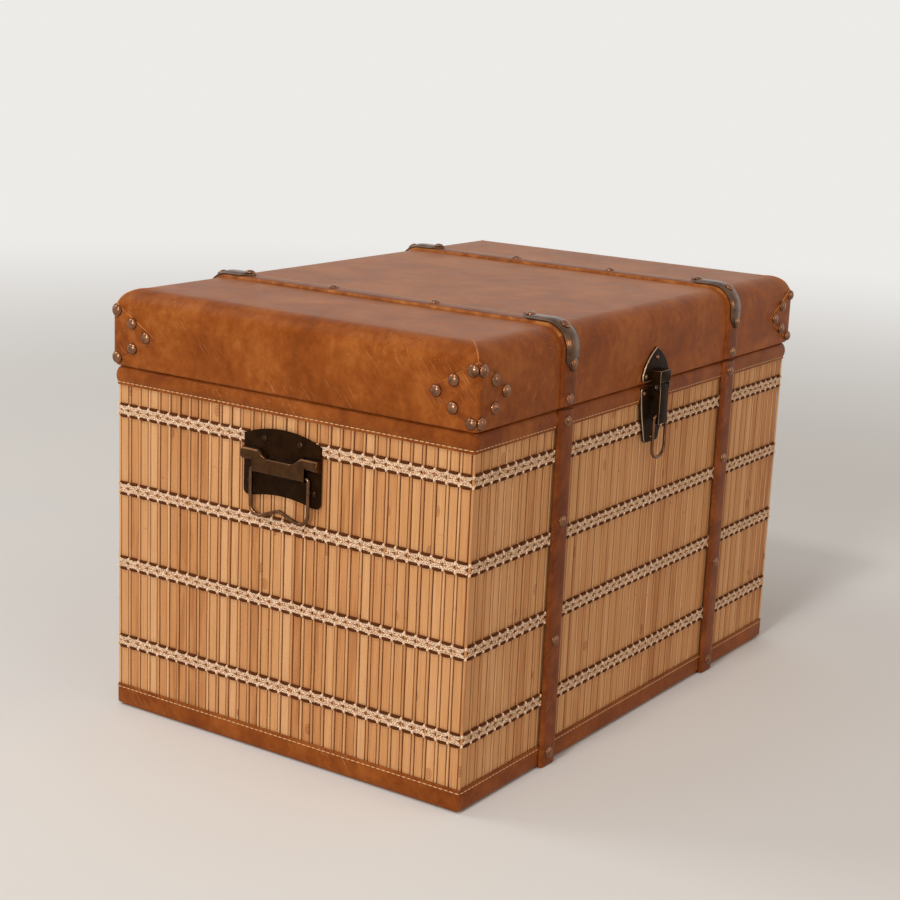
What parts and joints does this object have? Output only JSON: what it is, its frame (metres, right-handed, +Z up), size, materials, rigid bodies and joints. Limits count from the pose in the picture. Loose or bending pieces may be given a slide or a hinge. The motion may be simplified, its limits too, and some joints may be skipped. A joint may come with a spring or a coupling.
{
  "type": "storage trunk",
  "caption": "Storage trunk with slat-matted walls, a hinged leather-covered lid, leather straps, a hasp with a wire ring and a drop handle on each end.",
  "frame": {"origin": "middle of the base board's underside", "axes": "+Z up, +X along the length to the right-hand end seen from the front, -Y towards the front with the hasp"},
  "size_m": [0.6156, 0.419, 0.4104],
  "materials": {
    "board": "dark fibreboard, unfinished",
    "panel_wood": "plain board under the covering",
    "lining": "plain woven lining",
    "leather": "cognac, satin, with a fine grain",
    "bamboo": "split bamboo, satin lacquer",
    "braid": "cream braid between brown cords",
    "antique_brass": "antique brass, rubbed bright at the edges",
    "dark_plate": "dark japanned sheet, satin",
    "bronze": "dark bronze, satin",
    "steel": "plain steel pin"
  },
  "bodies": {
    "chest": {"base_board": "board", "bottom_panel": "panel_wood", "front_panel": "panel_wood", "back_panel": "panel_wood", "left_panel": "panel_wood", "right_panel": "panel_wood", "body_lining": "lining", "rim_band": "leather", "bottom_band": "leather", "mat_front": "bamboo", "mat_back": "bamboo", "mat_left": "bamboo", "mat_right": "bamboo", "weave_front": "braid", "weave_back": "braid", "weave_left": "braid", "weave_right": "braid", "body_straps": "leather", "body_strap_nails": "antique_brass", "latch_body_plate": "dark_plate", "latch_body_studs": "antique_brass", "hasp_keeper": "dark_plate", "handle_plates": "dark_plate", "handle_screws": "dark_plate", "handle_hoods": "bronze", "hinge_body_leaves": "antique_brass", "hinge_pins": "steel"},
    "lid": {"lid_cover": "leather", "lid_top_board": "panel_wood", "lid_front_rail": "panel_wood", "lid_back_rail": "panel_wood", "lid_left_rail": "panel_wood", "lid_right_rail": "panel_wood", "lid_lining": "lining", "corner_patches": "leather", "patch_nails": "antique_brass", "lid_straps": "leather", "lid_strap_nails": "antique_brass", "strap_clips": "antique_brass", "clip_nails": "antique_brass", "latch_lid_plate": "dark_plate", "latch_lid_studs": "antique_brass", "hasp_block": "dark_plate", "hasp_pin": "steel", "hinge_lid_leaves": "antique_brass"},
    "hasp": {"hasp": "dark_plate"},
    "lock_ring": {"latch_ring": "bronze"},
    "left_bail": {"bail_left": "bronze"},
    "right_bail": {"bail_right": "bronze"}
  },
  "joints": [
    {"name": "lid_hinge", "type": "hinge", "parent": "chest", "child": "lid", "pos_m": [0, 0.2024, 0.332], "axis": [-1, 0, 0], "range_deg": [0, 100]},
    {"name": "hasp_hinge", "type": "hinge", "parent": "lid", "child": "hasp", "pos_m": [0, -0.2085, 0.3296], "axis": [-1, 0, 0], "range_deg": [0, 88]},
    {"name": "ring_swing", "type": "hinge", "parent": "hasp", "child": "lock_ring", "pos_m": [0, -0.2088, 0.3021], "axis": [-1, 0, 0], "range_deg": [0, 120]},
    {"name": "left_bail_swing", "type": "hinge", "parent": "chest", "child": "left_bail", "pos_m": [-0.3046, 0, 0.2647], "axis": [0, 1, 0], "range_deg": [0, 150]},
    {"name": "right_bail_swing", "type": "hinge", "parent": "chest", "child": "right_bail", "pos_m": [0.3046, 0, 0.2647], "axis": [0, -1, 0], "range_deg": [0, 150]}
  ]
}
